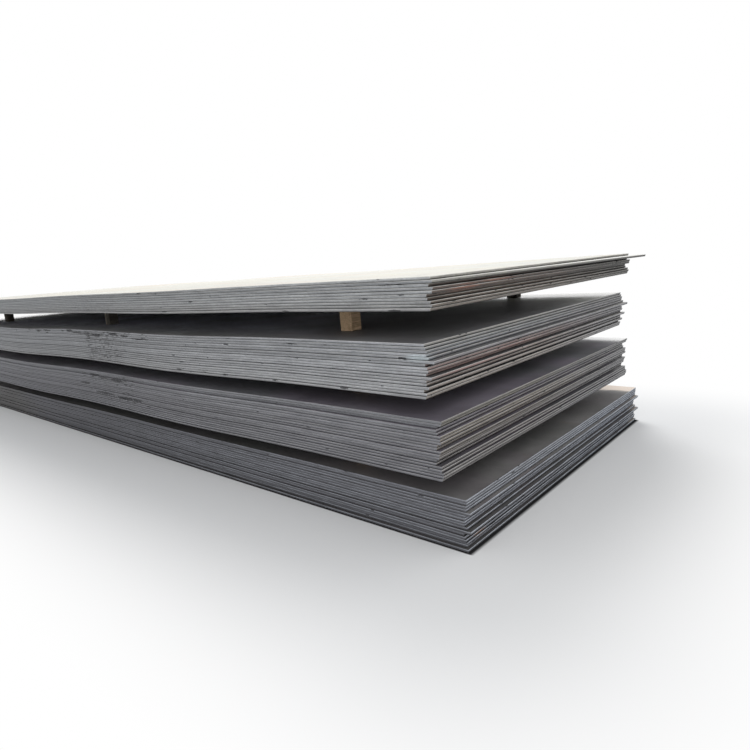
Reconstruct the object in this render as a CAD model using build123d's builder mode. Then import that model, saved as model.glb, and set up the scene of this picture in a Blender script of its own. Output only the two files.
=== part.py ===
from build123d import *
from math import cos, pi
import os

# A stack of hot rolled steel plates: four packs, one on another, with rows of timber spacers between.
# The origin is the middle of the lowest plate's underside, with the plates' length along X, their
# width along Y and Z up. The near end is the +X one and the near side the -Y one.
# Every plate is a solid of its own. The plates of a pack lie a hair apart, and so do plate and timber.

# Plates
plate_length = 6000.0
plate_width = 2000.0
lay_gap = 0.35
seat_gap = 0.3

# Packs, from the floor up. A pack's gauge is the thickness of its plates. Its end and side places are
# how far its near end and its near side stand from those of the lowest plate, along X and Y.
# Its sags are how far its lowest and its highest plate hang down between the spacers, and each
# sagging span is drawn in as many straight runs as sag_runs says.
sag_runs = 6
lower_gauge = 12.1
second_gauge = 11.05
third_gauge = 11.2
upper_gauge = 11.1
lower_place = (0.0, 0.0)
second_place = (-27.0, -94.0)
third_place = (-53.0, -133.0)
upper_place = (-7.0, -142.0)
lower_sags = (0.0, 3.5)
second_sags = (10.0, 9.0)
third_sags = (12.0, 10.0)
upper_sags = (6.5, 4.0)

# Ledges, from each pack's lowest plate up: how far each plate's near end stands out from its pack's
# place, and how far its near side lies back from it. There is one number for each plate.
lower_ends = [0, -12, -8, -10, -14, -22, 14, -4, -15, -12, -12, -10, 14, -4, -3, -1, 0]
lower_backs = [0, 12, 9, 2, 0, 6, 1, 4, 3, 0, 2, 1, 0, 2, 1, 3, 0]
second_ends = [-8, -3, -2, -8, -10, -32, -30, -18, -16, -10, -28, -24, -8, -10, -8, -21, -26, -28, -4, 2]
second_backs = [0, 2, 1, 0, 3, 2, 4, 1, 0, 2, 3, 1, 2, 0, 1, 2, 0, 9, 1, -2]
third_ends = [-5, -2, -12, 10, 0, 0, 24, 0, 10, 8, -2, 40, 15, 6, 8, 3, 0]
third_backs = [0, 3, 1, 0, 2, 1, 0, 3, 1, 0, 2, -2, 1, 0, 2, 1, 0]
upper_ends = [-5, 1, -3, -17, -18, 4, 7, -8]
upper_backs = [0, 2, 1, 3, 0, 1, 2, 0]

# The two plates that close the upper pack. The lower one of them has an end cut out of square, so
# that its far corner reaches further out than its near corner.
second_plate_end = 7.0
second_plate_slant = 86.0
top_plate_end = 0.0

# Timber spacers: short blocks between the packs, in a front and a back one at each of three places along
# the plates. A row's setbacks are how far its blocks' outer faces lie in from the near side (front) and
# the far side (back) of the pack that they stand on, for the near, the middle and the far place.
block_length = 70.0
block_width = 60.0
block_arris = 3.0
near_spacer_inset = 633.0
far_spacer_inset = 882.0
middle_spacer_shift = -42.5
lower_row_height = 97.0
middle_row_height = 83.0
upper_row_height = 110.0
lower_front_setbacks = (130.0, 148.0, 122.0)
lower_back_setbacks = (325.0, 300.0, 340.0)
middle_front_setbacks = (256.0, 274.0, 262.0)
middle_back_setbacks = (235.0, 252.0, 224.0)
upper_front_setbacks = (233.0, 233.0, 263.0)
upper_back_setbacks = (197.0, 214.0, 190.0)

near_end = plate_length / 2
near_side = -plate_width / 2
near_spacer_x = near_end - near_spacer_inset
far_spacer_x = -near_end + far_spacer_inset
middle_spacer_x = (near_spacer_x + far_spacer_x) / 2 + middle_spacer_shift
spacer_places = {"near": near_spacer_x, "middle": middle_spacer_x, "far": far_spacer_x}


def plate_line(end, level, sag):
    """Return the points of a plate's face line, near end first: flat on each spacer, sagging between."""
    half = block_length / 2
    spans = [
        (near_spacer_x - half, middle_spacer_x + half),
        (middle_spacer_x - half, far_spacer_x + half),
    ]
    points = [(end, level)]
    for start, finish in spans:
        for run in range(sag_runs + 1):
            share = run / sag_runs
            drop = sag * (1 - cos(2 * pi * share)) / 2
            points.append((start + share * (finish - start), level - drop))
    points.append((end - plate_length, level))
    return points


def rolled_plate(end, side, underside, gauge, sag):
    """Return one plate with its near end at X end, its near side at Y side and its underside given."""
    lower_line = plate_line(end, underside, sag)
    upper_line = plate_line(end, underside + gauge, sag)
    with BuildPart() as plate:
        with BuildSketch(Plane.XZ.offset(-side)):
            if sag == 0:
                with Locations((end - plate_length / 2, underside + gauge / 2)):
                    Rectangle(plate_length, gauge)
            else:
                with BuildLine():
                    Polyline(*lower_line, *reversed(upper_line), close=True)
                make_face()
        extrude(amount=-plate_width)
    return plate.part


def pack_level(floor, gauge, index):
    """Return the underside of a pack's plate, counted from 0 at the pack's floor."""
    return floor + index * (gauge + lay_gap)


def pack_height(gauge, count):
    """Return the height of a pack from its lowest underside to its highest face."""
    return count * (gauge + lay_gap) - lay_gap


def plate_sag(sags, index, count):
    """Return one plate's sag, shared out evenly from the lowest plate's to the highest one's."""
    low, high = sags
    return low + (high - low) * index / (count - 1)


def pack_plates(floor, gauge, place, sags, ends, backs, count):
    """Return the listed plates of a pack that has count plates in all."""
    plates = []
    for index, (end, back) in enumerate(zip(ends, backs)):
        plate = rolled_plate(
            near_end + place[0] + end,
            near_side + place[1] + back,
            pack_level(floor, gauge, index),
            gauge,
            plate_sag(sags, index, count),
        )
        plates.append(plate)
    return plates


def timber_block(middle, underside, height):
    """Return one sawn block round its middle in plan, with its upright arrises taken off."""
    with BuildPart() as block:
        with BuildSketch(Plane.XY.offset(underside)):
            with Locations(middle):
                Rectangle(block_length, block_width)
        extrude(amount=height)
        chamfer(block.edges().filter_by(Axis.Z), block_arris)
    return block.part


# Levels, from the floor up
lower_count = len(lower_ends)
second_count = len(second_ends)
third_count = len(third_ends)
upper_count = len(upper_ends) + 2
lower_top = pack_height(lower_gauge, lower_count)
second_floor = lower_top + lower_row_height + 2 * seat_gap
second_top = second_floor + pack_height(second_gauge, second_count)
third_floor = second_top + middle_row_height + 2 * seat_gap
third_top = third_floor + pack_height(third_gauge, third_count)
upper_floor = third_top + upper_row_height + 2 * seat_gap

os.makedirs("parts", exist_ok=True)

# Lower pack, flat on the floor
with BuildPart() as lower_pack:
    add(pack_plates(
        0.0, lower_gauge, lower_place, lower_sags, lower_ends, lower_backs, lower_count,
    ))
lower_pack.part.label = "lower_pack"
export_step(lower_pack.part, "parts/lower_pack.step")

# Second pack
with BuildPart() as second_pack:
    add(pack_plates(
        second_floor, second_gauge, second_place, second_sags, second_ends, second_backs, second_count,
    ))
second_pack.part.label = "second_pack"
export_step(second_pack.part, "parts/second_pack.step")

# Third pack
with BuildPart() as third_pack:
    add(pack_plates(
        third_floor, third_gauge, third_place, third_sags, third_ends, third_backs, third_count,
    ))
third_pack.part.label = "third_pack"
export_step(third_pack.part, "parts/third_pack.step")

# Upper pack, up to the two plates that close it
with BuildPart() as upper_pack:
    add(pack_plates(
        upper_floor, upper_gauge, upper_place, upper_sags, upper_ends, upper_backs, upper_count,
    ))
upper_pack.part.label = "upper_pack"
export_step(upper_pack.part, "parts/upper_pack.step")

# The plate under the top one, drawn out to its far corner and then cut back on the slant
second_index = upper_count - 2
second_underside = pack_level(upper_floor, upper_gauge, second_index)
second_sag = plate_sag(upper_sags, second_index, upper_count)
second_near_x = near_end + upper_place[0] + second_plate_end
second_near_y = near_side + upper_place[1]
with BuildPart() as second_plate:
    add(rolled_plate(second_near_x, second_near_y, second_underside, upper_gauge, second_sag))
    with BuildSketch(Plane.XY.offset(second_underside)):
        with BuildLine():
            Polyline(
                (second_near_x, second_near_y),
                (second_near_x + second_plate_slant, second_near_y + plate_width),
                (second_near_x, second_near_y + plate_width),
                close=True,
            )
        make_face()
    extrude(amount=upper_gauge)
second_plate.part.label = "second_plate"
export_step(second_plate.part, "parts/second_plate.step")

# Top plate
top_index = upper_count - 1
top_underside = pack_level(upper_floor, upper_gauge, top_index)
top_sag = plate_sag(upper_sags, top_index, upper_count)
top_near_x = near_end + upper_place[0] + top_plate_end
with BuildPart() as top_plate:
    add(rolled_plate(top_near_x, near_side + upper_place[1], top_underside, upper_gauge, top_sag))
top_plate.part.label = "top_plate"
export_step(top_plate.part, "parts/top_plate.step")

# Timber spacers, a front and a back one at three places in each gap between two packs
rows = {
    "lower": (lower_place, lower_top, lower_row_height, lower_front_setbacks, lower_back_setbacks),
    "middle": (second_place, second_top, middle_row_height, middle_front_setbacks, middle_back_setbacks),
    "upper": (third_place, third_top, upper_row_height, upper_front_setbacks, upper_back_setbacks),
}
for row_name, (pack_place, pack_top, height, front_setbacks, back_setbacks) in rows.items():
    pack_side = near_side + pack_place[1]
    front_lines = [pack_side + setback + block_width / 2 for setback in front_setbacks]
    back_lines = [pack_side + plate_width - setback - block_width / 2 for setback in back_setbacks]
    for line_name, lines in (("front", front_lines), ("back", back_lines)):
        for (place_name, place), line in zip(spacer_places.items(), lines):
            node_name = f"{row_name}_spacer_{place_name}_{line_name}"
            with BuildPart() as spacer:
                add(timber_block((place, line), pack_top + seat_gap, height))
            spacer.part.label = node_name
            export_step(spacer.part, f"parts/{node_name}.step")
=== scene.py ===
import math
import random

import bmesh
import bpy
import numpy as np
from mathutils import Euler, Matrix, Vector, noise


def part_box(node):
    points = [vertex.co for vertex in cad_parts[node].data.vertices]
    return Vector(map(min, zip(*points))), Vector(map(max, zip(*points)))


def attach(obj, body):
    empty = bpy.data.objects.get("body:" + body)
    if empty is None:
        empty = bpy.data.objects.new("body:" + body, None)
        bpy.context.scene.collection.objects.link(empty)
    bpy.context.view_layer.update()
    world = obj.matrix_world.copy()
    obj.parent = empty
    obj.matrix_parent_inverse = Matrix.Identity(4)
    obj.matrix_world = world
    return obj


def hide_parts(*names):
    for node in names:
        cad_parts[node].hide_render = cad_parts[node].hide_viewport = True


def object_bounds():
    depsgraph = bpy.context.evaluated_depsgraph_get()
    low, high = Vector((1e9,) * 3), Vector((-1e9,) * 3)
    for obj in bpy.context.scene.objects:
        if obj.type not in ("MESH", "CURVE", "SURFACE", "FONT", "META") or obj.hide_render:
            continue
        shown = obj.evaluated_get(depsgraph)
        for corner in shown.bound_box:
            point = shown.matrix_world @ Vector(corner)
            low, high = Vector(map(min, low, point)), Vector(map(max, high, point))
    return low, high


# A stack of steel plates on timber spacers. The plates are read from the frame's nodes and built again
# with sheared, worn edges. Lengths are in metres, in the frame's own axes.

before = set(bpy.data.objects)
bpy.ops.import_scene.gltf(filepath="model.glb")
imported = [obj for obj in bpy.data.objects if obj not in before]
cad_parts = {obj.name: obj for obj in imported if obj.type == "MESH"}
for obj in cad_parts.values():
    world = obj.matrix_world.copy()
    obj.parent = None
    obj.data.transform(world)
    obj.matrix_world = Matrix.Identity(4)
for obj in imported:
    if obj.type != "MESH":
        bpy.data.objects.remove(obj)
cad_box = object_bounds()
scene = bpy.context.scene
scene.view_settings.view_transform = "Standard"

# Camera
camera_place = (4.0834, -2.6764, 1.0955)
camera_heading = 131.509
camera_pitch = -11.047
camera_roll = 4.409
camera_lens = 27.39

# Light: the world's strength and tint, and each lamp's place, target, size and power
world_strength = 0.72
world_tint = (0.97, 0.985, 1.0)
lamps = {
    "sky_lamp": ((-1.5, 4.5, 6.0), (0, 0, 0.6), 5.0, 250),
    "fill_lamp": ((6.0, -6.0, 3.5), (0, 0, 0.5), 5.0, 150),
}

# Floor: it turns white over the fade's distances from the stack. Its painted contact shadow fades out over
# that shadow's distances from the lowest plate, and the stretch makes that rim narrower beside the long
# sides.
floor_half = 60
floor_drop = 0.0005
floor_pale = (0.9, 0.9, 0.9)
floor_shadow_colour = (0.03, 0.03, 0.03)
floor_fade = (0.15, 1.1)
painted_floor_shadow = (0.006, 0.026)
painted_shadow_stretch = (1, 3, 1)

# Reading the frame: points this close are one, and points this near to a side are on it
weld_distance = 0.00002
side_tolerance = 0.0001
place_digits = 5

# Plate edges, as a sheared edge has them from the top down: rolled corner, cut band, torn band, foot.
# Run and bend are shares of the corner's height, and the torn middle is one of the undercut and the gauge.
corner_radius = 0.003
rolled_corner = 0.0016
corner_run = 1.2
corner_bend = 0.35
cut_share = 0.45
torn_middle = (0.45, 0.3)
foot_height = 0.0009
undercut_range = (0.0012, 0.0034)
lean_range = (0.0, 0.0007)

# How far an edge wanders and ripples, and how quickly along it
edge_wander = 0.0006
edge_ripple = 0.00025
wander_rate = 3
ripple_rate = 40

# The lane of noise that each side of a plate reads, and the zone that the finish finds there
side_lanes = {"near": 4, "far": 3, "near_end": 8, "far_end": 7, "corner": 6}
zones = {"near": 1.0, "far": 1.0, "near_end": 2.0, "far_end": 2.0, "corner": 1.0, "upper": 0.0, "under": -1.0}

# Steps between points along the long sides, the ends and a mark, the share of a step by which a point may
# stray, and the least step
long_step = 0.045
end_step = 0.036
mark_step = 0.006
step_jitter = 0.25
least_step = 0.6 * mark_step

# How far from a slanted end the far side of a plate without a sag bends, and a corner's outward direction
flat_bend = 0.5
diagonal = 0.707

# Small dents: the reach up or down is a share of the gauge, and the points lie at shares of the length
nicks_per_plate = 12
nick_sides = ("near", "near", "near", "far", "far", "near_end", "near_end", "far_end")
nick_margin = 0.03
nick_length = (0.014, 0.05)
nick_depth = (0.001, 0.003)
nick_reach = 0.45
nick_wear = 0.7
nick_points = (-0.5, -0.25, 0.0, 0.25, 0.5)

# Marks: the share of their length that has close points to each side, the room for a plate's sag, and how
# quickly their ragged outline changes along X and Z, its mean and swing, and its limit
mark_reach = 0.6
sag_room = 0.006
mark_rate = (45, 200)
mark_ragged = (0.95, 1.1)
mark_limit = 4

# Blocks: the arris, their points along X, Y and Z, what share of an arris the ends' rims lie back by, and
# the saw's coarse and fine marks, each with its depth and how quickly it changes across and along
block_arris = 0.003
block_points = (13, 14, 15)
block_end_share = 0.4
saw_marks = ((0.001, 60, 20), (0.0006, 220, 60))

# End grain: the shares at which its rings of points lie, the depth of its torn surface and how quickly that
# changes, how many checks split it and how deep, and the depth of its middle
end_rings = (0.95, 0.86, 0.74, 0.6, 0.44, 0.28, 0.13)
end_torn = 0.0013
end_rate = 160
end_checks = 3
check_depth = 0.005
end_middle = 0.001

# Where the pith may lie from a block's middle, along X and along Z
pith_x = (-0.03, 0.03)
pith_z = (-0.11, -0.06)

# How weathered each block is, how much dirt and painted shade darken it and from where, by its place, and
# how much before that
clean_soil_and_shade = 0.1
block_looks = {
    "near_front": (0.0, 0.08, -1.0),
    "near_back": (0.6, 0.93, -1.0),
    "middle_front": (1.0, 0.88, -0.45),
    "middle_back": (0.9, 0.8, -1.0),
    "far_front": (0.8, 0.93, -1.0),
    "far_back": (0.8, 0.8, -1.0),
}

# Single chips and dents on the near side: X, Z, length, height, depth
pack_marks = {
    "third_pack": [
        (-0.8, 0.812, 0.09, 0.01, 0.004), (-0.55, 0.798, 0.1, 0.012, 0.005),
        (-0.4, 0.802, 0.13, 0.01, 0.004), (0.0, 0.806, 0.1, 0.016, 0.006),
        (0.12, 0.797, 0.16, 0.012, 0.005), (0.25, 0.794, 0.12, 0.01, 0.004),
        (0.41, 0.786, 0.14, 0.018, 0.006), (0.64, 0.796, 0.11, 0.014, 0.007),
        (0.78, 0.789, 0.09, 0.011, 0.004), (0.96, 0.774, 0.2, 0.006, 0.004),
        (1.3, 0.7, 0.03, 0.005, 0.003), (1.38, 0.668, 0.04, 0.005, 0.003),
        (1.34, 0.626, 0.05, 0.006, 0.004), (1.58, 0.627, 0.03, 0.006, 0.003),
        (1.76, 0.626, 0.04, 0.006, 0.004), (2.13, 0.628, 0.03, 0.006, 0.003),
        (2.55, 0.63, 0.04, 0.007, 0.004), (2.845, 0.761, 0.035, 0.007, 0.005),
    ],
    "second_pack": [
        (0.17, 0.505, 0.14, 0.012, 0.004), (0.32, 0.496, 0.14, 0.014, 0.005),
        (0.5, 0.492, 0.18, 0.018, 0.007), (0.02, 0.44, 0.14, 0.012, 0.004),
        (0.3, 0.392, 0.24, 0.016, 0.005), (0.57, 0.382, 0.2, 0.018, 0.008),
        (0.73, 0.384, 0.15, 0.016, 0.006),
    ],
    "upper_pack": [
        (2.26, 0.93, 0.04, 0.006, 0.003), (2.84, 0.93, 0.06, 0.006, 0.003),
        (2.83, 1.019, 0.12, 0.004, 0.002), (1.05, 1.03, 0.04, 0.006, 0.002),
    ],
}

# Stretches of the near side that lifting gear has scuffed: from X to X, from Z to Z, and how many chips
scuffs = {
    "third_pack": [(-1.1, 1.1, 0.782, 0.812, 34), (0.26, 0.7, 0.64, 0.8, 26), (1.4, 2.6, 0.7, 0.8, 2)],
    "second_pack": [(0.0, 0.85, 0.46, 0.52, 14), (0.1, 0.9, 0.36, 0.42, 14), (0.6, 0.7, 0.36, 0.52, 12)],
    "upper_pack": [(1.2, 2.7, 0.93, 1.02, 3)],
    "lower_pack": [(-1.0, 1.6, 0.05, 0.2, 6)],
}
scuff_length = (0.012, 0.055)
scuff_height = (0.003, 0.007)
scuff_depth = (0.001, 0.003)

# Where the band of scrapes on the long sides begins and where it ends, each with its soft rim
scrape_from = (0.16, 0.34)
scrape_to = (0.86, 0.66)

# Where along X the long sides brighten towards the near end, and again towards the far end, and where the
# plates' own tones and the painted shade and highlights between them come out
side_rise = (-2.2, 3.2)
far_lift = (0.4, -2.2)
tone_rise = (-1.0, 2.2)
line_rise = (-1.0, 2.3)

# How painted shade of the gap below a plate darkens its torn foot, by height in the edge: on the sides, on
# the ends, and evenly far off
side_foot_shade = [(0.0, 0.16, 0.16, 0.16), (0.1, 0.4, 0.4, 0.4), (0.26, 0.93, 0.93, 0.93), (1.0, 1.0, 1.0, 1.0)]
end_foot_shade = [(0.0, 0.04, 0.04, 0.04), (0.14, 0.2, 0.2, 0.2), (0.36, 0.85, 0.85, 0.85), (1.0, 1.0, 1.0, 1.0)]
even_foot_shade = (0.88, 0.88, 0.88)

# How dark the ledges are at the foot of a pack, against its topmost face
ledge_shade = 0.4

# Where along X the painted sunlight on flat faces begins to wander, and where it does so fully
inland_range = (2.3, 1.3)

# Colours of wear on the steel
scrape_colour = (0.085, 0.085, 0.092)
joint_dirt = (0.035, 0.034, 0.036)
burr_colour = (0.5, 0.51, 0.52)
chip_colour = (0.022, 0.022, 0.025)
stain_colour = (0.17, 0.135, 0.11)
scratch_gain = 1.9

# The top plate: its upper face in two pale tints, dust made pale as painted sunlight, the bare underside in
# two tints, and the layers over the upper face, each with its noise's scale, detail, roughness and offset,
# the range in which it shows and how much, and colour
top_sunlit = ((0.83, 0.825, 0.77), (0.84, 0.81, 0.71))
top_bare = ((0.15, 0.14, 0.145), (0.19, 0.18, 0.18))
top_layers = {
    "pink": ((0.9, 2.5, 1), 3, 0.55, 43, (0.48, 0.66, 0.0, 0.7), (0.84, 0.755, 0.665)),
    "rolled": ((0.2, 26, 1), 4, 0.6, 57, (0.42, 0.68, 0.0, 0.2), (0.6, 0.59, 0.55)),
    "thin": ((9, 12, 1), 8, 0.75, 59, (0.52, 0.58, 0.0, 0.55), (0.55, 0.55, 0.545)),
    "scuff": ((5, 24, 1), 6, 0.7, 47, (0.54, 0.74, 0.0, 0.4), (0.56, 0.55, 0.52)),
    "scratch": ((1.5, 160, 1), 3, 0.55, 49, (0.61, 0.7, 0.0, 0.45), (0.42, 0.4, 0.37)),
    "fleck": ((38, 60, 1), 5, 0.75, 51, (0.56, 0.7, 0.0, 0.5), (0.45, 0.42, 0.38)),
    "speck": ((110, 110, 1), 3, 0.55, 53, (0.64, 0.72, 0.0, 0.65), (0.36, 0.25, 0.17)),
}

# Colours of the timber: early and late wood where fresh and where weathered, its stain and its dirt, with
# how many year rings it has in a metre
fresh_wood = ((0.69, 0.49, 0.31), (0.5, 0.34, 0.2))
grey_wood = ((0.3, 0.27, 0.225), (0.17, 0.145, 0.12))
wood_stain = (0.12, 0.08, 0.05)
wood_dirt_and_shade = (0.04, 0.037, 0.03)
rings_per_metre = 210.0


def smooth_heights(xs, zs, stations):
    """Return the heights at the stations on a smooth line through the points, which never overshoots."""
    run = np.diff(xs)
    slope = np.diff(zs) / run
    product = slope[:-1] * slope[1:]
    total = slope[:-1] + slope[1:]
    tangent = np.zeros(len(xs))
    tangent[1:-1] = np.where(product > 0, 2 * product / np.where(total == 0, 1, total), 0)
    i = np.clip(np.searchsorted(xs, stations) - 1, 0, len(run) - 1)
    t = (stations - xs[i]) / run[i]
    start = (2 * t**3 - 3 * t**2 + 1) * zs[i] + (t**3 - 2 * t**2 + t) * run[i] * tangent[i]
    finish = (3 * t**2 - 2 * t**3) * zs[i + 1] + (t**3 - t**2) * run[i] * tangent[i + 1]
    return start + finish


def read_plates(node):
    """Return the plates of a frame node, lowest first, with their corners, gauge and underside line."""
    work = bmesh.new()
    work.from_mesh(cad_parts[node].data)
    bmesh.ops.remove_doubles(work, verts=work.verts, dist=weld_distance)
    plates = []
    unseen = set(work.verts)
    while unseen:
        found = [unseen.pop()]
        for vert in found:
            for edge in vert.link_edges:
                other = edge.other_vert(vert)
                if other in unseen:
                    unseen.remove(other)
                    found.append(other)
        points = np.array([vert.co for vert in found], float)
        plates.append(plate_facts(points))
    work.free()
    return sorted(plates, key=lambda plate: plate["underside"][-1])


def plate_facts(points):
    """Return what a plate's vertices say of it. Its slant is how much further its far corner reaches."""
    near_y = points[:, 1].min()
    far_y = points[:, 1].max()
    near_side = points[points[:, 1] < near_y + side_tolerance]
    far_side = points[points[:, 1] > far_y - side_tolerance]
    xs = np.unique(np.round(near_side[:, 0], place_digits))
    columns = [near_side[np.abs(near_side[:, 0] - x) < weld_distance, 2] for x in xs]
    return {
        "near_y": near_y,
        "far_y": far_y,
        "xs": xs,
        "underside": np.array([column.min() for column in columns]),
        "gauge": columns[0].max() - columns[0].min(),
        "slant": far_side[:, 0].max() - near_side[:, 0].max(),
    }


def spaced(start, finish, step, extra, rng):
    """Return stations between two rounded corners, about a step apart, with the extra ones added."""
    start, finish = start + corner_radius, finish - corner_radius
    count = max(2, round((finish - start) / step))
    strays = [rng.uniform(-step_jitter, step_jitter) for _ in range(1, count)]
    inner = [start + (finish - start) * (i + stray) / count for i, stray in enumerate(strays, 1)]
    inner += [x for x in extra if start < x < finish]
    kept = [start]
    for x in sorted(inner):
        if x - kept[-1] > least_step and finish - x > least_step:
            kept.append(x)
    return np.array(kept + [finish])


def uneven(*point):
    """Return smooth noise from 0 to 1 at a point."""
    return 0.5 + 0.5 * noise.noise(Vector(point))


def make_object(name, verts, faces, material, values=()):
    """Make an object of the scene, with the values that its finish reads stored on its mesh."""
    mesh = bpy.data.meshes.new(name)
    mesh.from_pydata(verts, [], faces)
    for key, kind, domain, data in values:
        field = "vector" if kind == "FLOAT_VECTOR" else "value"
        mesh.attributes.new(key, kind, domain).data.foreach_set(field, data)
    mesh.materials.append(material)
    mesh.validate()
    made = bpy.data.objects.new(name, mesh)
    scene.collection.objects.link(made)
    return made


def marks_on(plate, marks):
    """Return the marks that lie on a plate's near side."""
    low = plate["underside"][-1] - sag_room
    high = plate["underside"][-1] + plate["gauge"]
    return [mark for mark in marks if low - mark[3] < mark[1] < high + mark[3]]


def mark_push(marks, x, z):
    """Return how far the listed marks push an edge point in, and how worn they leave it."""
    push, worn = 0.0, 0.0
    rate_x, rate_z = mark_rate
    mean, swing = mark_ragged
    for mark_x, mark_z, length, height, depth in marks:
        away = abs((x - mark_x) / (length / 2)) ** 3 + abs((z - mark_z) / (height / 2)) ** 2
        if away > mark_limit:
            continue
        share = math.exp(-away) * (mean + swing * noise.noise(Vector((x * rate_x, z * rate_z, mark_x))))
        share = max(0.0, min(1.0, share))
        push = max(push, depth * share)
        worn = max(worn, share)
    return push, worn


def edge_wear(gauge, marks, nicks, side, along, underside, level):
    """Return how far marks and dents push an edge point in, and how worn they leave it."""
    push, worn = 0.0, 0.0
    if side == "near":
        push, worn = mark_push(marks, along, underside + level)
    for nick in nicks:
        away = abs(along - nick["place"])
        half = nick["length"] / 2
        if nick["side"] == side and away < half:
            share = 1 - away / half
            share *= max(0, 1 - abs(level - nick["level"]) / (gauge * nick_reach))
            push += nick["depth"] * share
            worn = max(worn, share * nick_wear)
    return push, worn


def plate_outline(plate, xs, ys):
    """Return the outline, as place, outward direction, underside, side and distance along the side."""
    x0, x1 = plate["xs"][0], plate["xs"][-1]
    y0, y1 = plate["near_y"], plate["far_y"]
    far_floor, near_floor = plate["underside"][0], plate["underside"][-1]
    slant = plate["slant"]
    bend = plate["xs"][-2] if len(plate["xs"]) > 2 else x1 - flat_bend
    far_xs = xs + slant * np.clip((xs - bend) / (x1 - bend), 0, 1)
    heights = smooth_heights(plate["xs"], plate["underside"], xs)
    end_xs = x1 + slant * (ys - y0) / (y1 - y0)
    end_normal = Vector((y1 - y0, -slant, 0)).normalized()
    slip = corner_radius * (math.sqrt(2) - 1) / math.sqrt(2)
    loop = [(x, y0, (0, -1), z, "near", x) for x, z in zip(xs, heights)]
    loop.append((x1 - slip, y0 + slip, (diagonal, -diagonal), near_floor, "corner", 0))
    loop += [(x, y, end_normal.xy, near_floor, "near_end", y) for x, y in zip(end_xs, ys)]
    loop.append((x1 + slant - slip, y1 - slip, (diagonal, diagonal), near_floor, "corner", 0))
    loop += [(x, y1, (0, 1), z, "far", along) for x, z, along in list(zip(far_xs, heights, xs))[::-1]]
    loop.append((x0 + slip, y1 - slip, (-diagonal, diagonal), far_floor, "corner", 0))
    loop += [(x0, y, (-1, 0), far_floor, "far_end", y) for y in ys[::-1]]
    loop.append((x0 + slip, y0 + slip, (-diagonal, -diagonal), far_floor, "corner", 0))
    return loop


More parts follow.
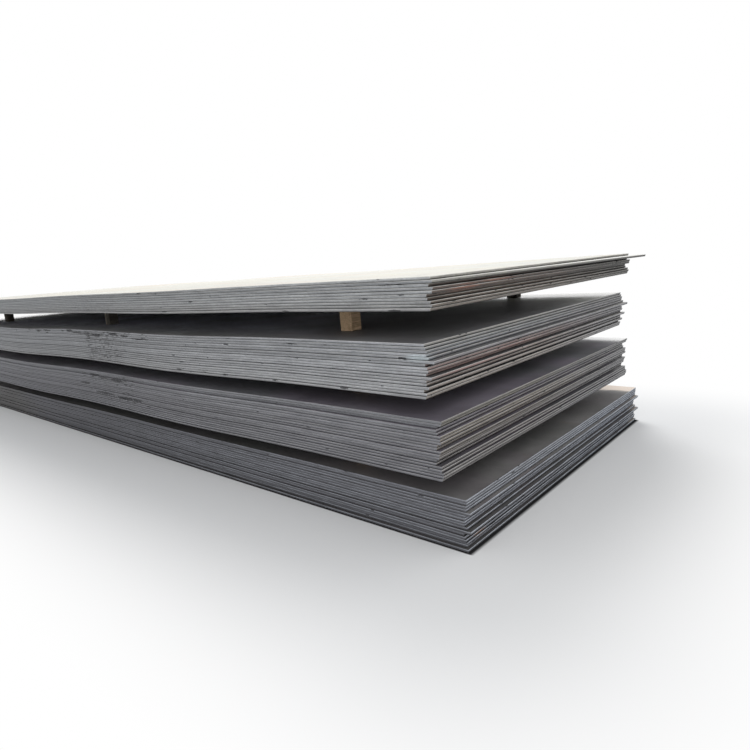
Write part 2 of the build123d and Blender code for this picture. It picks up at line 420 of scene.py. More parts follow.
class PlateBuilder:
    """Collects the plates of one piece as one mesh, with what the finish reads stored on it."""

    def __init__(self, seed):
        self.rng = random.Random(seed)
        self.verts, self.faces, self.zone = [], [], []
        self.values = {"rise": [], "chip": [], "tone": []}

    def add(self, plate, marks):
        """Add a plate with a tone, dents and an edge section of its own, worn where the marks are."""
        gauge = plate["gauge"]
        tone = self.rng.uniform(-1, 1)
        wander_seed = self.rng.uniform(0, 1000)
        nicks = [self.nick(plate) for _ in range(nicks_per_plate)]
        here = marks_on(plate, marks)
        xs, ys = self.stations(plate, here, nicks)
        loop = plate_outline(plate, xs, ys)
        profile = self.edge_profile(gauge)
        first = len(self.verts)
        for x, y, (out_x, out_y), z, side, along in loop:
            wander = edge_wander * uneven(along * wander_rate, wander_seed, side_lanes[side])
            ripple = edge_ripple * uneven(along * ripple_rate, wander_seed, side_lanes[side])
            for inset, level in profile:
                push, worn = edge_wear(gauge, here, nicks, side, along, z, level)
                inward = inset + wander + ripple + push
                self.verts.append((x - out_x * inward, y - out_y * inward, z + level))
                for key, value in (("rise", level / gauge), ("chip", worn), ("tone", tone)):
                    self.values[key].append(value)
        self.add_faces(first, [point[4] for point in loop], len(profile), len(xs), len(ys))

    def nick(self, plate):
        """Return one small dent at a random place, with its side and its level on the plate."""
        side = self.rng.choice(nick_sides)
        if side in ("near", "far"):
            low, high = plate["xs"][0], plate["xs"][-1]
        else:
            low, high = plate["near_y"], plate["far_y"]
        return {
            "side": side,
            "place": self.rng.uniform(low + nick_margin, high - nick_margin),
            "level": plate["gauge"] * self.rng.choice((0.0, 1.0)),
            "length": self.rng.uniform(*nick_length),
            "depth": self.rng.uniform(*nick_depth),
        }

    def stations(self, plate, marks, nicks):
        """Return where a plate has points along X and along Y, close together in marks and dents."""
        extra_x, extra_y = [], []
        for mark in marks:
            reach = mark_reach * mark[2]
            extra_x += list(np.arange(mark[0] - reach, mark[0] + reach, mark_step))
        for nick in nicks:
            extra = extra_x if nick["side"] in ("near", "far") else extra_y
            extra += [nick["place"] + share * nick["length"] for share in nick_points]
        xs = spaced(plate["xs"][0], plate["xs"][-1], long_step, extra_x, self.rng)
        ys = spaced(plate["near_y"], plate["far_y"], end_step, extra_y, self.rng)
        return xs, ys

    def edge_profile(self, gauge):
        """Return a plate's edge section from the top down, as how far in and how high each point is."""
        undercut = self.rng.uniform(*undercut_range)
        lean = self.rng.uniform(*lean_range)
        torn_in, torn_up = torn_middle
        return [
            (rolled_corner * corner_run, gauge),
            (rolled_corner * corner_bend, gauge - rolled_corner * corner_bend),
            (0.0, gauge - rolled_corner),
            (lean, gauge * (1 - cut_share)),
            (lean + undercut * torn_in, gauge * torn_up),
            (lean + undercut, foot_height),
            (lean + undercut + foot_height, 0.0),
        ]

    def scatter(self, stretches):
        """Return chips at random places in the stretches, as X, Z, length, height and depth."""
        chips = []
        for x0, x1, z0, z1, count in stretches:
            spans = ((x0, x1), (z0, z1), scuff_length, scuff_height, scuff_depth)
            chips += [tuple(self.rng.uniform(*span) for span in spans) for _ in range(count)]
        return chips

    def add_faces(self, first, sides, levels, long_count, end_count):
        """Add a plate's faces, whose points begin at first: the edge round it, and strips above and below.

        The sides are those of the steps round it, and the counts are of its points along X and Y.
        """
        count = len(sides)

        def index(step, level):
            return first + (step % count) * levels + level

        for step, side in enumerate(sides):
            for level in range(levels - 1):
                here, there = index(step, level), index(step + 1, level)
                self.faces.append((here, here + 1, there + 1, there))
                self.zone.append(zones[side])
        far_start = long_count + end_count + 1
        near = range(long_count)
        near_end = range(long_count, far_start)
        far = range(far_start, far_start + long_count)[::-1]
        far_end = range(far_start + long_count, count)
        strips = [(a, b, d, c) for a, b, c, d in zip(near, near[1:], far, far[1:])]
        strips.append((near[-1], *near_end, far[-1]))
        strips.append((far[0], *far_end, near[0]))
        for strip in strips:
            self.faces.append(tuple(index(step, 0) for step in strip))
            self.faces.append(tuple(index(step, levels - 1) for step in reversed(strip)))
            self.zone += [zones["upper"], zones["under"]]

    def finish(self, name, node, slot, finish):
        """Make the piece from what was collected, in place of its frame node."""
        values = [(key, "FLOAT", "POINT", data) for key, data in self.values.items()]
        values.append(("zone", "FLOAT", "FACE", self.zone))
        piece = make_object(name, self.verts, self.faces, finish, values)
        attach(piece, "root")
        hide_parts(node)


def build_plates(node, name, slot, seed, pack, finish):
    """Build a node's plates, worn by the marks and scuffs of a pack."""
    builder = PlateBuilder(seed)
    marks = pack_marks.get(pack, []) + builder.scatter(scuffs[pack])
    for plate in read_plates(node):
        builder.add(plate, marks)
    builder.finish(name, node, slot, finish)


class Nodes:
    """Short calls for the nodes of a material or of the world."""

    def __init__(self, tree):
        self.tree = tree

    def feed(self, socket, value):
        """Link a socket to another one, or set its value."""
        if isinstance(value, bpy.types.NodeSocket):
            self.tree.links.new(value, socket)
        else:
            socket.default_value = value

    def node(self, kind, inputs=None, **settings):
        """Make a shader node, with a link or a value for each given input."""
        made = self.tree.nodes.new("ShaderNode" + kind)
        for key, value in settings.items():
            setattr(made, key, value)
        for key, value in (inputs or {}).items():
            self.feed(made.inputs[key], value)
        return made

    def math(self, operation, first, second=0.0):
        """Return a sum, product or the like of numbers."""
        return self.node("Math", {0: first, 1: second}, operation=operation).outputs[0]

    def vector(self, operation, first, second=(0, 0, 0), output="Vector"):
        """Return a sum, product or the like of vectors."""
        made = self.node("VectorMath", {0: first, 1: second}, operation=operation)
        return made.outputs[output]

    def times(self, first, *others):
        """Return the product of numbers."""
        for other in others:
            first = self.math("MULTIPLY", first, other)
        return first

    def seen_directly(self):
        """Return 1 where the camera, a reflection or a refraction looks, and 0 for light that falls."""
        path = self.node("LightPath").outputs
        seen = self.math("MAXIMUM", path["Is Camera Ray"], path["Is Glossy Ray"])
        return self.math("MAXIMUM", seen, path["Is Transmission Ray"])


class Finish(Nodes):
    """A material, with the textures and mixes that the finishes are made of."""

    def __init__(self, name):
        self.material = bpy.data.materials.new(name)
        self.material.use_nodes = True
        super().__init__(self.material.node_tree)
        self.shader = self.tree.nodes["Principled BSDF"]
        self.place = self.node("TexCoord").outputs["Object"]
        self.x, self.y, self.z = self.node("SeparateXYZ", {0: self.place}).outputs

    def attribute(self, name):
        """Return a value that is stored on the mesh."""
        return self.node("Attribute", attribute_name=name).outputs["Fac"]

    def noise(self, scale, detail=3.0, roughness=0.55, offset=0.0, distortion=0.0):
        """Return noise over the object's own coordinates, stretched by a scale for each axis."""
        stretch = {"Vector": self.place, "Scale": scale, "Location": (offset,) * 3}
        moved = self.node("Mapping", stretch).outputs[0]
        inputs = {"Vector": moved, "Scale": 1.0, "Detail": detail, "Roughness": roughness}
        inputs["Distortion"] = distortion
        return self.node("TexNoise", inputs).outputs[0]

    def range(self, value, low, high, start=0.0, finish=1.0):
        """Return the value's place between low and high, eased, from start to finish."""
        inputs = {"Value": value, "From Min": low, "From Max": high, "To Min": start, "To Max": finish}
        return self.node("MapRange", inputs, interpolation_type="SMOOTHSTEP").outputs[0]

    def ramp(self, value, stops):
        """Return the colour for a value, from stops that are each a place, red, green and blue."""
        made = self.node("ValToRGB", {0: value})
        elements = made.color_ramp.elements
        while len(elements) < len(stops):
            elements.new(0.5)
        for element, (place, *colour) in zip(elements, stops):
            element.position = place
            element.color = (*colour, 1)
        return made.outputs[0]

    def mix(self, factor, first, second, blend="MIX"):
        """Return the first colour, with the second one over it by the factor."""
        inputs = {0: factor, 6: first, 7: second}
        inputs = {key: (*value, 1) if isinstance(value, tuple) else value for key, value in inputs.items()}
        return self.node("Mix", inputs, data_type="RGBA", blend_type=blend).outputs[2]

    def multiply(self, colour, other):
        """Return the product of two colours, where the second one may be a number instead."""
        if isinstance(other, bpy.types.NodeSocket) and other.type == "VALUE":
            other = self.node("CombineColor", {0: other, 1: other, 2: other}).outputs[0]
        return self.mix(1.0, colour, other, "MULTIPLY")

    def spot(self, middle, reach, ragged):
        """Return nearly 1 in a ragged patch round a point and 0 away from it."""
        shift = self.vector("SUBTRACT", self.place, middle)
        scaled = self.vector("MULTIPLY", shift, tuple(1 / r for r in reach))
        length = self.vector("LENGTH", scaled, output="Value")
        return self.range(self.math("ADD", length, self.times(ragged, 0.9)), 0.75, 1.35, 0.85, 0.0)

    def bump(self, height, strength, distance):
        """Return a normal for the relief of a height."""
        inputs = {"Height": height, "Strength": strength, "Distance": distance}
        return self.node("Bump", inputs).outputs[0]

    def set(self, **sockets):
        """Set or link inputs of the shader, named with underscores for spaces."""
        for key, value in sockets.items():
            self.feed(self.shader.inputs[key.replace("_", " ")], value)


class SteelFinish(Finish):
    """A finish of steel, with the noises that its colour and its roughness share."""

    def __init__(self, name, floor=None, top=None):
        """Begin the finish. Height is 0 at the floor and 1 at the top, or 1 everywhere without these."""
        super().__init__(name)
        self.smears = self.noise((7, 7, 90), detail=4, offset=3)
        self.streaks = self.noise((1.1, 1.1, 300), detail=4)
        self.grain = self.noise((160, 160, 420), offset=7)
        self.speckle = self.noise((55, 55, 190), roughness=0.7, offset=9)
        zone = self.attribute("zone")
        self.on_end = self.range(zone, 1.4, 1.6)
        self.on_cut = self.range(zone, 0.4, 0.6)
        self.upward = self.range(zone, -0.6, -0.4)
        self.height = 1.0
        if top is not None:
            heights = {"Value": self.z, "From Min": floor, "From Max": top}
            self.height = self.node("MapRange", heights).outputs[0]


def clean_edge(f, sides, far_share, near_ends, far_ends):
    """Return edge colours: cool on the sides and paler towards the near end, warmer near the corner."""
    blotches = f.noise((2.6, 2.6, 9), detail=4, offset=11)
    along = f.range(f.math("POWER", f.range(f.x, *side_rise), 2.0), 0.0, 1.0, far_share, 1.035)
    along = f.times(along, f.range(f.x, *far_lift, 1.0, 1.2))
    side_colour = f.multiply(f.ramp(f.height, sides), along)
    near_corner = f.range(f.math("ADD", f.y, f.times(blotches, 0.9)), 0.0, 1.1, 1.0, 0.0)
    end_colour = f.mix(near_corner, f.ramp(f.height, far_ends), f.ramp(f.height, near_ends))
    return f.mix(f.on_end, side_colour, end_colour)


def scrapes(f, strength):
    """Return how scraped the long sides are."""
    torn = f.noise((34, 34, 80), detail=4, roughness=0.7, offset=15)
    return f.times(
        f.range(f.x, *scrape_from),
        f.range(f.x, *scrape_to),
        f.range(f.y, 0.2, -0.2, 0.0, strength),
        f.range(torn, 0.47, 0.57),
        f.range(f.noise((9, 9, 14), offset=13), 0.36, 0.55, 0.15, 0.9),
    )


def edge_grit(f):
    """Return by how much grit, streaks and each plate's own tone lighten or darken the edges."""
    close = f.math("MAXIMUM", f.on_end, f.range(f.x, *tone_rise, 0.4, 1.0))
    return f.times(
        f.range(f.streaks, 0.3, 0.7, 0.8, 1.2),
        f.range(f.smears, 0.3, 0.7, 0.84, 1.16),
        f.range(f.times(f.attribute("tone"), close), -1.0, 1.0, 0.86, 1.14),
        f.range(f.grain, 0.25, 0.75, 0.86, 1.14),
        f.range(f.speckle, 0.25, 0.75, 0.84, 1.16),
    )


def edge_lines(f, colour, line_colour):
    """Return the colour with painted shade on each plate's torn foot and a painted highlight on its rolled
    top corner.
    """
    rise = f.attribute("rise")
    foot = f.mix(f.range(f.x, *line_rise, 0.85, 0.0), f.ramp(rise, side_foot_shade), even_foot_shade)
    colour = f.multiply(colour, f.mix(f.on_end, foot, f.ramp(rise, end_foot_shade)))
    lit = f.times(f.range(rise, 0.76, 0.9), f.range(f.smears, 0.3, 0.62, 0.4, 1.0))
    lit_side = f.range(f.x, *line_rise, 0.06, 0.52)
    lit_end = f.times(f.on_end, f.math("SUBTRACT", 1.0, lit_side))
    return f.mix(f.times(lit, f.math("ADD", lit_side, lit_end)), colour, line_colour)


def edge_chips(f, colour):
    """Return the colour with dirt in the joints, chips and the pale burrs round them."""
    chip = f.attribute("chip")
    dirt = f.times(f.range(f.noise((22, 22, 260), offset=17), 0.62, 0.74), 0.5)
    colour = f.mix(dirt, colour, joint_dirt)
    ragged = f.times(f.math("SUBTRACT", f.noise((70, 70, 300), roughness=0.7, offset=5), 0.5), 1.7)
    torn = f.times(f.range(chip, 0.05, 0.2), f.range(f.math("ADD", chip, ragged), 0.22, 0.36))
    burr = f.times(f.range(chip, 0.04, 0.16), f.range(f.speckle, 0.54, 0.64, 0.0, 0.6))
    colour = f.mix(burr, colour, burr_colour)
    return f.mix(f.times(torn, 0.9), colour, chip_colour)


def cut_edge(f, sides, far_share, near_ends, far_ends, line_colour, scraped=0.0, spots=()):
    """Return the colour of a pack's cut edges, as the edges below describe it."""
    colour = clean_edge(f, sides, far_share, near_ends, far_ends)
    for x, y, z, reach, rise_reach, stain in spots:
        colour = f.mix(f.spot((x, y, z), (reach, reach, rise_reach), f.smears), colour, stain)
    if scraped:
        colour = f.mix(scrapes(f, scraped), colour, scrape_colour)
    colour = f.multiply(colour, edge_grit(f))
    return edge_chips(f, edge_lines(f, colour, line_colour))


def bare_scale(f, warm, cool, inward, bloom, stain):
    """Return bare mill scale in two tints with stains and fine scratches, painted gap light and shade, ledge
    shade.
    """
    scratch = f.noise((3, 220, 3), detail=2, offset=31)
    tint = f.noise((1.7, 2.4, 1.0), offset=37)
    colour = f.mix(f.range(tint, 0.4, 0.62), warm, cool)
    colour = f.multiply(colour, f.range(bloom, 0.32, 0.68, 0.78, 1.14))
    colour = f.mix(f.range(stain, 0.55, 0.78, 0.0, 0.4), colour, stain_colour)
    bright = tuple(scratch_gain * c for c in warm)
    colour = f.mix(f.range(scratch, 0.68, 0.76, 0.0, 0.3), colour, bright)
    # Further into the gaps, painted light brightens the third pack's scale and painted shade darkens the
    # lowest's
    gap_light_shade, near_end, near_side = inward
    outside = f.math("MAXIMUM", f.range(f.x, *near_end), f.range(f.y, *near_side))
    colour = f.multiply(colour, f.mix(outside, gap_light_shade, (1.0, 1.0, 1.0)))
    return f.multiply(colour, f.range(f.height, 0.3, 0.75, ledge_shade, 1.0))


def painted_sun_cover(f, far_side, far_end, sun_level, bloom, stain):
    """Return where flat faces get painted sunlight: most on their far edges and ends, and thinly on ledges.
    """
    thin, full = far_side
    inland = f.range(f.x, *inland_range)
    sun_noise = f.noise((0.9, 0.9, 0.9), detail=5, roughness=0.65, offset=71)
    wave = f.times(f.math("SUBTRACT", bloom, 0.5), 0.16)
    wander = f.times(f.math("SUBTRACT", sun_noise, 0.5), f.times(inland, 0.3))
    across = f.math("ADD", f.math("ADD", f.y, wave), wander)
    sun_fade = f.range(across, 1.4 * thin - 0.4 * full, full, 0.0, 0.55)
    painted_sun = f.math("MAXIMUM", sun_fade, f.range(across, thin, full))
    patchy = f.range(f.math("ADD", stain, f.times(sun_noise, 0.5)), 0.6, 0.9, 0.1, 0.45)
    painted_sun = f.times(painted_sun, f.math("SUBTRACT", 1.0, f.times(patchy, inland)))
    painted_sun = f.math("MAXIMUM", painted_sun, f.range(f.math("ADD", f.x, wave), *far_end))
    topmost = f.range(f.height, sun_level - 0.04, sun_level + 0.04, 0.3, 1.0)
    return f.times(painted_sun, f.upward, topmost)


def mill_scale(f, warm, cool, dust_colour, far_side, far_end, inward, sun_level=0.94):
    """Return the colour of flat faces, as the flats below describe it, and how much painted sunlight they
    get.
    """
    bloom = f.noise((3.2, 3.2, 3.2), detail=5, offset=23, distortion=0.4)
    stain = f.noise((7.5, 7.5, 7.5), detail=5, roughness=0.65, offset=29)
    colour = bare_scale(f, warm, cool, inward, bloom, stain)
    painted_sun = painted_sun_cover(f, far_side, far_end, sun_level, bloom, stain)
    return f.mix(painted_sun, colour, dust_colour), painted_sun


def steel_finish(name, floor, top, edges, flats, sheen):
    """Return a pack's finish between two heights. The sheen is a flat face's roughness, bare and in painted
    sun.
    """
    f = SteelFinish(name, floor, top)
    flat_colour, painted_sun = mill_scale(f, **flats)
    f.set(Base_Color=f.mix(f.on_cut, flat_colour, cut_edge(f, **edges)), Specular_IOR_Level=0.5)
    pits = f.noise((45, 45, 45), detail=4, roughness=0.7, offset=19)
    relief = f.math("ADD", f.times(f.grain, 0.6), f.times(f.streaks, 0.4))
    relief = f.math("ADD", relief, f.times(pits, 0.5))
    bare, sun_rough = sheen
    damp = f.times(f.math("POWER", painted_sun, 5.0), sun_rough - bare)
    flat_rough = f.math("ADD", f.range(f.smears, 0.3, 0.7, bare - 0.02, bare + 0.02), damp)
    cut_rough = f.range(f.smears, 0.3, 0.7, 0.48, 0.68)
    rough = f.times(f.math("SUBTRACT", cut_rough, flat_rough), f.on_cut)
    f.set(Roughness=f.math("ADD", flat_rough, rough), Normal=f.bump(relief, 0.4, 0.0009))
    return f.material


def top_finish():
    """Return the top plate's finish: mill scale above, pale as dust and painted sunlight, a plain cut edge
    round it.
    """
    f = SteelFinish("top_plate_finish")
    bloom = f.noise((1.3, 2.2, 1), detail=5, offset=41, distortion=0.6)
    smudge = f.noise((1.1, 1.6, 1), offset=63)
    # The upper face's pale colour is dust made pale as painted sunlight
    painted_sun = f.mix(f.range(bloom, 0.35, 0.68), *top_sunlit)
    noises = {}
    for name, (scale, detail, roughness, offset, shown, colour) in top_layers.items():
        noises[name] = f.noise(scale, detail, roughness, offset)
        cover = f.range(noises[name], *shown)
        if name == "thin":
            cover = f.times(cover, f.range(smudge, 0.4, 0.62, 0.12, 0.75))
        painted_sun = f.mix(cover, painted_sun, colour)
    bare = f.mix(f.range(bloom, 0.3, 0.7), *top_bare)
    cut = cut_edge(f, **top_edges)
    f.set(Base_Color=f.mix(f.on_cut, f.mix(f.upward, bare, painted_sun), cut), Specular_IOR_Level=0.3)
    scuff, specks = noises["scuff"], noises["speck"]
    f.set(Roughness=f.range(scuff, 0.4, 0.7, 0.8, 0.66))
    f.set(Normal=f.bump(f.math("ADD", scuff, f.times(specks, 0.3)), 0.25, 0.001))
    return f.material


def timber_finish():
    """Return the finish of sawn softwood: rings on the end grain, long grain on the faces."""
    f = Finish("timber_finish")
    grain_place = f.node("Attribute", attribute_name="grain").outputs["Vector"]
    flat = f.node("Mapping", {"Vector": grain_place, "Scale": (1, 0.04, 1)}).outputs[0]
    wobble = f.node("TexNoise", {"Vector": flat, "Scale": 28.0, "Detail": 3.0}).outputs["Color"]
    bent = f.node("Mix", {0: 0.02, 4: flat, 5: wobble}, data_type="VECTOR").outputs[1]
    level, _, upright = f.node("SeparateXYZ", {0: bent}).outputs
    radius = f.math("SQRT", f.math("ADD", f.times(level, level), f.times(upright, upright)))
    ring = f.math("FRACT", f.times(radius, rings_per_metre))
    late = f.times(f.range(ring, 0.35, 0.9), f.range(ring, 1.0, 0.93))
    fibre = f.noise((420, 14, 420), offset=61)
    patches = f.noise((24, 14, 24), detail=5, roughness=0.65, offset=67)
    wood = f.mix(f.attribute("weather"), f.mix(late, *fresh_wood), f.mix(late, *grey_wood))
    wood = f.multiply(wood, f.range(fibre, 0.3, 0.7, 0.78, 1.2))
    wood = f.mix(f.range(patches, 0.48, 0.68, 0.0, 0.5), wood, wood_stain)
    # Dirt and painted shade darken the blocks, which stand in the dark gaps between the packs
    wood = f.mix(f.times(f.attribute("soil_and_shade"), f.range(patches, 0.3, 0.6, 0.75, 1.0)), wood, wood_dirt_and_shade)
    f.set(Base_Color=wood, Roughness=0.85, Specular_IOR_Level=0.25)
    relief = f.math("ADD", f.times(fibre, 0.7), f.times(late, 0.4))
    f.set(Normal=f.bump(relief, 0.5, 0.0012))
    return f.material


def block_ring(half, arris):
    """Return the points round a block's section, as X and Z from its middle."""
    across = np.linspace(-half.x + arris, half.x - arris, block_points[0])
    up = np.linspace(-half.z + arris, half.z - arris, block_points[2])
    ring = [(x, -half.z) for x in across] + [(half.x, z) for z in up]
    return ring + [(x, half.z) for x in across[::-1]] + [(-half.x, z) for z in up[::-1]]


def sawn_sides(put, ring, half, reach, seed):
    """Put the points of a block's long faces, a ring at a time, and return the faces between them."""
    for y in np.linspace(-reach, reach, block_points[1]):
        for x, z in ring:
            rough = 0.0
            for depth, across, along in saw_marks:
                rough += depth * uneven(x * across, y * along, z * across + seed)
            put(x * (1 - rough / half.x), y, z * (1 - rough / half.z))
    count = len(ring)
    starts = range(0, count * (block_points[1] - 1), count)
    pairs = [(i, (i + 1) % count) for i in range(count)]
    return [(row + i, row + j, row + count + j, row + count + i) for row in starts for i, j in pairs]


def end_grain(put, ring, row, side, half, checks, seed):
    """Close one end of a block with rings of points, torn by the saw and split by checks."""
    count = len(ring)
    pairs = [(i, (i + 1) % count) for i in range(count)]
    outer = [row * count + i for i in range(count)]
    faces = []
    for share in end_rings:
        inner = []
        for i, (x, z) in enumerate(ring):
            torn = end_torn * uneven(x * end_rate * share, z * end_rate * share, seed + row)
            if i in checks:
                torn += check_depth * share
            inner.append(put(x * share, side * (half.y - torn), z * share))
        faces += [(outer[i], inner[i], inner[j], outer[j]) for i, j in pairs]
        outer = inner
    last = put(0, side * (half.y - end_middle), 0)
    faces += [(outer[i], last, outer[j]) for i, j in pairs]
    return faces if side < 0 else [face[::-1] for face in faces]


def build_block(node, weather, soil_and_shade, clean_to, seed, finish):
    """Build one rough-sawn spacer block in place of its frame node, with its end grain on the Y faces.

    Dirt and painted shade darken it from clean_to on, a share of its half length along X.
    """
    low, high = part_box(node)
    middle = (low + high) / 2
    half = (high - low) / 2
    arris = min(block_arris, half.x / 4)
    rng = random.Random(seed)
    ring = block_ring(half, arris)
    checks = rng.sample(range(len(ring)), end_checks)
    pith = Vector((rng.uniform(*pith_x), 0, rng.uniform(*pith_z)))
    verts, grain, soil_and_shade_values = [], [], []

    def put(x, y, z):
        """Add a point, given from the block's middle, and return its number."""
        verts.append((middle.x + x, middle.y + y, middle.z + z))
        grain.append((x - pith.x, y + seed, z - pith.z))
        soil_and_shade_values.append(clean_soil_and_shade if x < clean_to * half.x else soil_and_shade)
        return len(verts) - 1

    faces = sawn_sides(put, ring, half, half.y - arris * block_end_share, seed)
    for row, side in ((0, -1), (block_points[1] - 1, 1)):
        faces += end_grain(put, ring, row, side, half, checks, seed)
    values = [
        ("grain", "FLOAT_VECTOR", "POINT", np.ravel(grain)),
        ("weather", "FLOAT", "POINT", [weather] * len(verts)),
        ("soil_and_shade", "FLOAT", "POINT", soil_and_shade_values),
    ]
    piece = make_object(node + "_wood", verts, faces, finish, values)
    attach(piece, "root")
    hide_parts(node)


def aim(direction):
    """Return the turn that points a camera or a lamp along a direction."""
    return direction.to_track_quat("-Z", "Y").to_matrix()


def make_camera():
    """Make the camera that sees the stack as the photograph does."""
    data = bpy.data.cameras.new("camera")
    data.lens = camera_lens
    data.sensor_width = 36
    data.clip_start = 0.01
    camera = bpy.data.objects.new("camera", data)
    heading, pitch = math.radians(camera_heading), math.radians(camera_pitch)
    level = math.cos(pitch)
    forward = Vector((math.cos(heading) * level, math.sin(heading) * level, math.sin(pitch)))
    roll = Euler((0, 0, -math.radians(camera_roll))).to_matrix()
    camera.location = camera_place
    camera.rotation_euler = (aim(forward) @ roll).to_euler()
    scene.collection.objects.link(camera)
    scene.camera = camera


def make_lamp(name, place, target, size, power):
    """Make a round area lamp that shines at its target."""
    data = bpy.data.lights.new(name, "AREA")
    data.shape = "DISK"
    data.size = size
    data.energy = power
    lamp = bpy.data.objects.new(name, data)
    lamp.location = place
    lamp.rotation_euler = aim(Vector(target) - Vector(place)).to_euler()
    scene.collection.objects.link(lamp)


def make_world():
    """Light the object evenly, with white where the world itself is seen."""
    world = bpy.data.worlds.new("studio")
    world.use_nodes = True
    n = Nodes(world.node_tree)
    n.tree.nodes.clear()
    light = n.node("Background", {"Color": (*world_tint, 1), "Strength": world_strength})
    white = n.node("Background", {"Color": (1, 1, 1, 1), "Strength": 1.0})
    mixed = n.node("MixShader", {0: n.seen_directly(), 1: light.outputs[0], 2: white.outputs[0]})
    n.node("OutputWorld", {0: mixed.outputs[0]})
    scene.world = world


def distance_from(f, low, high, stretch):
    """Return how far a point of the floor is from a rectangle, with a stretch for each axis."""
    middle = ((low[0] + high[0]) / 2, (low[1] + high[1]) / 2, 0)
    half = ((high[0] - low[0]) / 2, (high[1] - low[1]) / 2, 1)
    away = f.vector("ABSOLUTE", f.vector("SUBTRACT", f.place, middle))
    away = f.vector("MAXIMUM", f.vector("SUBTRACT", away, half))
    return f.vector("LENGTH", f.vector("MULTIPLY", away, stretch), output="Value")


def make_floor(plate):
    """Make a pale floor that keeps the shadow, is white further out and has painted shadow beside the given
    plate.
    """
    f = Finish("floor_finish")
    distance = distance_from(f, *cad_box, (1, 1, 1))
    foot = ((plate["xs"][0], plate["near_y"]), (plate["xs"][-1], plate["far_y"]))
    beside = distance_from(f, *foot, painted_shadow_stretch)
    # A painted contact shadow darkens the floor right beside the lowest plate
    f.set(Base_Color=f.mix(f.range(beside, *painted_floor_shadow), floor_shadow_colour, floor_pale))
    f.set(Roughness=0.9, Specular_IOR_Level=0.0)
    white = f.node("Emission", {"Color": (1, 1, 1, 1), "Strength": 1.0}).outputs[0]
    fade = f.times(f.range(distance, *floor_fade), f.seen_directly())
    seen = f.node("MixShader", {0: fade, 1: f.shader.outputs[0], 2: white}).outputs[0]
    f.tree.links.new(seen, f.tree.nodes["Material Output"].inputs["Surface"])
    half = floor_half
    corners = [(-half, -half, 0), (half, -half, 0), (half, half, 0), (-half, half, 0)]
    floor = make_object("floor", corners, [(0, 1, 2, 3)], f.material)
    floor.location.z = -floor_drop


make_camera()
make_world()
for name, light in lamps.items():
    make_lamp(name, *light)
make_floor(read_plates("lower_pack")[0])

# Edges: sides, near_ends and far_ends are stops by height in the pack, far_share is how much darker the far
# end of the sides is, the highlight colour that of the painted highlight on each plate's top corner, scraped
# the strength of the band of scrapes, and each spot has its X, Y and Z, its reach along the edge and in
# height, and its colour
rust_red = (0.2, 0.085, 0.055)
rust_brown = (0.26, 0.14, 0.08)
rust_pink = (0.3, 0.19, 0.175)
worn_blue = (0.5, 0.56, 0.59)
# A darker patch, low at the far left of the lowest pack's near side
far_left_dark = (0.1, 0.096, 0.092)
# The two lowest packs are darker partly in their own colour and partly as painted shade near the ground
lower_edges = dict(
    sides=[(0.0, 0.094, 0.094, 0.105), (0.5, 0.1, 0.1, 0.112), (1.0, 0.116, 0.116, 0.13)],
    far_share=0.92,
    near_ends=[
        (0.0, 0.14, 0.14, 0.154), (0.3, 0.162, 0.163, 0.183), (0.6, 0.182, 0.186, 0.212),
        (1.0, 0.2, 0.204, 0.225),
    ],
    far_ends=[(0.0, 0.135, 0.148, 0.175), (0.5, 0.175, 0.193, 0.235), (1.0, 0.205, 0.222, 0.258)],
    line_colour=(0.48, 0.51, 0.56),
    scraped=0.2,
    spots=[(2.99, -0.9, 0.05, 0.075, 0.026, rust_brown), (-2.2, -1.0, 0.08, 1.3, 0.35, far_left_dark)],
)
second_edges = dict(
    sides=[(0.0, 0.151, 0.152, 0.167), (0.5, 0.162, 0.162, 0.178), (1.0, 0.184, 0.187, 0.202)],
    far_share=0.92,
    near_ends=[
        (0.0, 0.175, 0.165, 0.16), (0.35, 0.17, 0.155, 0.15), (0.62, 0.2, 0.175, 0.15),
        (0.74, 0.21, 0.185, 0.15), (0.8, 0.17, 0.16, 0.178), (0.88, 0.175, 0.165, 0.188),
        (0.93, 0.21, 0.195, 0.165), (1.0, 0.2, 0.19, 0.17),
    ],
    far_ends=[(0.0, 0.185, 0.185, 0.197), (0.5, 0.195, 0.193, 0.2), (1.0, 0.215, 0.215, 0.22)],
    line_colour=(0.42, 0.41, 0.4),
    scraped=0.6,
)
third_edges = dict(
    sides=[(0.0, 0.288, 0.291, 0.299), (0.5, 0.272, 0.278, 0.292), (1.0, 0.266, 0.273, 0.29)],
    far_share=0.79,
    near_ends=[
        (0.0, 0.28, 0.25, 0.22), (0.2, 0.26, 0.23, 0.205), (0.35, 0.25, 0.21, 0.19),
        (0.55, 0.27, 0.2, 0.185), (0.64, 0.28, 0.205, 0.195), (0.7, 0.24, 0.235, 0.25),
        (0.85, 0.25, 0.26, 0.275), (1.0, 0.27, 0.26, 0.24),
    ],
    far_ends=[
        (0.0, 0.24, 0.235, 0.24), (0.5, 0.24, 0.236, 0.25), (0.75, 0.25, 0.25, 0.27),
        (1.0, 0.25, 0.25, 0.255),
    ],
    line_colour=(0.55, 0.54, 0.52),
    scraped=1.0,
    spots=[
        (2.95, -0.86, 0.698, 0.34, 0.02, rust_pink),
        (2.95, -0.5, 0.72, 0.3, 0.012, rust_pink),
        (2.92, -1.13, 0.766, 0.085, 0.018, worn_blue),
    ],
)
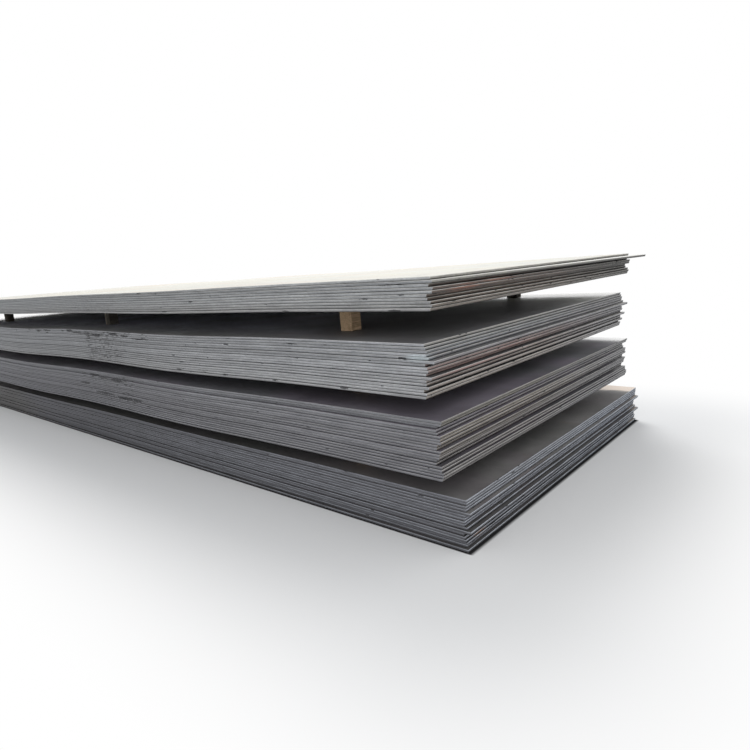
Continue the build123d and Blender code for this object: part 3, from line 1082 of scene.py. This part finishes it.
upper_edges = dict(
    sides=[(0.0, 0.29, 0.29, 0.292), (0.5, 0.268, 0.275, 0.283), (1.0, 0.258, 0.268, 0.28)],
    far_share=0.9,
    # The ends' dark brown middle heights are partly rust and partly painted shadow under the second plate
    near_ends=[
        (0.0, 0.3, 0.27, 0.24), (0.2, 0.18, 0.15, 0.125), (0.4, 0.105, 0.079, 0.061),
        (0.6, 0.09, 0.063, 0.05), (0.75, 0.09, 0.065, 0.053), (0.85, 0.32, 0.31, 0.28),
        (1.0, 0.32, 0.31, 0.29),
    ],
    far_ends=[
        (0.0, 0.115, 0.111, 0.104), (0.3, 0.062, 0.06, 0.056), (0.6, 0.042, 0.041, 0.037),
        (0.8, 0.047, 0.046, 0.042), (0.9, 0.2, 0.196, 0.182), (1.0, 0.32, 0.31, 0.28),
    ],
    line_colour=(0.68, 0.66, 0.62),
    scraped=0.25,
    spots=[(2.98, -0.7, 1.004, 0.19, 0.012, rust_red), (2.98, -0.93, 0.99, 0.15, 0.02, rust_red)],
)
top_edges = dict(
    sides=[(0.0, 0.3, 0.305, 0.31), (1.0, 0.3, 0.305, 0.31)],
    far_share=0.9,
    near_ends=[(0.0, 0.3, 0.29, 0.27), (1.0, 0.3, 0.29, 0.27)],
    far_ends=[(0.0, 0.3, 0.29, 0.27), (1.0, 0.3, 0.29, 0.27)],
    line_colour=(0.6, 0.59, 0.55),
)

# Flat faces: far_side and far_end are where the painted sunlight begins and is full along Y and X, its level
# the height in the pack from which it lies, and inward what the scale is multiplied by further in, as painted
# shade in one pack's gaps and painted light in another's, with the X and the Y where that is full and where
# it ends
# Pale colours of the painted sunlight on the far edges of the flat faces
cream, sand = (0.9, 0.89, 0.84), (0.91, 0.9, 0.83)
chalk, peach = (0.92, 0.915, 0.9), (0.85, 0.73, 0.63)
# Painted shade further into the lowest pack's gaps, nothing, and painted light further into the third pack's
painted_gap_shade = ((0.55, 0.55, 0.55), (1.4, 2.9), (-2.0, -3.0))
plain = ((1.0, 1.0, 1.0), (1.4, 2.9), (-2.0, -3.0))
painted_gap_light = ((3.0, 3.1, 3.55), (1.5, 2.45), (-0.75, -1.1))
lower_flats = dict(
    warm=(0.19, 0.177, 0.18), cool=(0.185, 0.182, 0.176), dust_colour=peach,
    far_side=(0.865, 0.905), far_end=(-2.96, -3.02), inward=painted_gap_shade,
)
second_flats = dict(
    warm=(0.187, 0.167, 0.2), cool=(0.168, 0.167, 0.182), dust_colour=chalk,
    far_side=(0.72, 0.83), far_end=(-2.9, -3.02), inward=plain,
)
third_flats = dict(
    warm=(0.175, 0.17, 0.178), cool=(0.165, 0.166, 0.166), dust_colour=sand,
    far_side=(0.1, 0.73), far_end=(-1.9, -2.85), inward=painted_gap_light,
)
upper_flats = dict(
    warm=(0.17, 0.162, 0.16), cool=(0.16, 0.16, 0.15), dust_colour=cream,
    far_side=(0.6, 0.8), far_end=(-2.9, -3.0), inward=plain,
)
# The second plate's flat faces are all painted sunlight, which shows on its ledge
sunlit_ledge_flats = dict(upper_flats, dust_colour=(0.88, 0.87, 0.82), far_side=(-2.2, -1.3), sun_level=0.85)

# Each pack's edges, flat faces and their roughness, bare and in the painted sunlight
packs = {
    "lower_pack": (lower_edges, lower_flats, (0.6, 0.6)),
    "second_pack": (second_edges, second_flats, (0.58, 0.2)),
    "third_pack": (third_edges, third_flats, (0.56, 0.1)),
    "upper_pack": (upper_edges, upper_flats, (0.5, 0.5)),
}
upper_floor, upper_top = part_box("upper_pack")[0].z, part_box("top_plate")[1].z
for seed, (node, looks) in enumerate(packs.items()):
    low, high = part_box(node)
    top = upper_top if node == "upper_pack" else high.z
    finish = steel_finish(node + "_finish", low.z, top, *looks)
    build_plates(node, node + "_plates", node + "_steel", seed, node, finish)

finish = steel_finish("second_plate_finish", upper_floor, upper_top, upper_edges, sunlit_ledge_flats, (0.5, 0.5))
build_plates("second_plate", "second_plate_sheared", "upper_pack_steel", 11, "upper_pack", finish)
build_plates("top_plate", "top_plate_sheared", "top_plate_steel", 12, "upper_pack", top_finish())

timber = timber_finish()
block_seed = 20
for row_name in ("lower", "middle", "upper"):
    for place_name, looks in block_looks.items():
        block_seed += 1
        build_block(f"{row_name}_spacer_{place_name}", *looks, block_seed, timber)
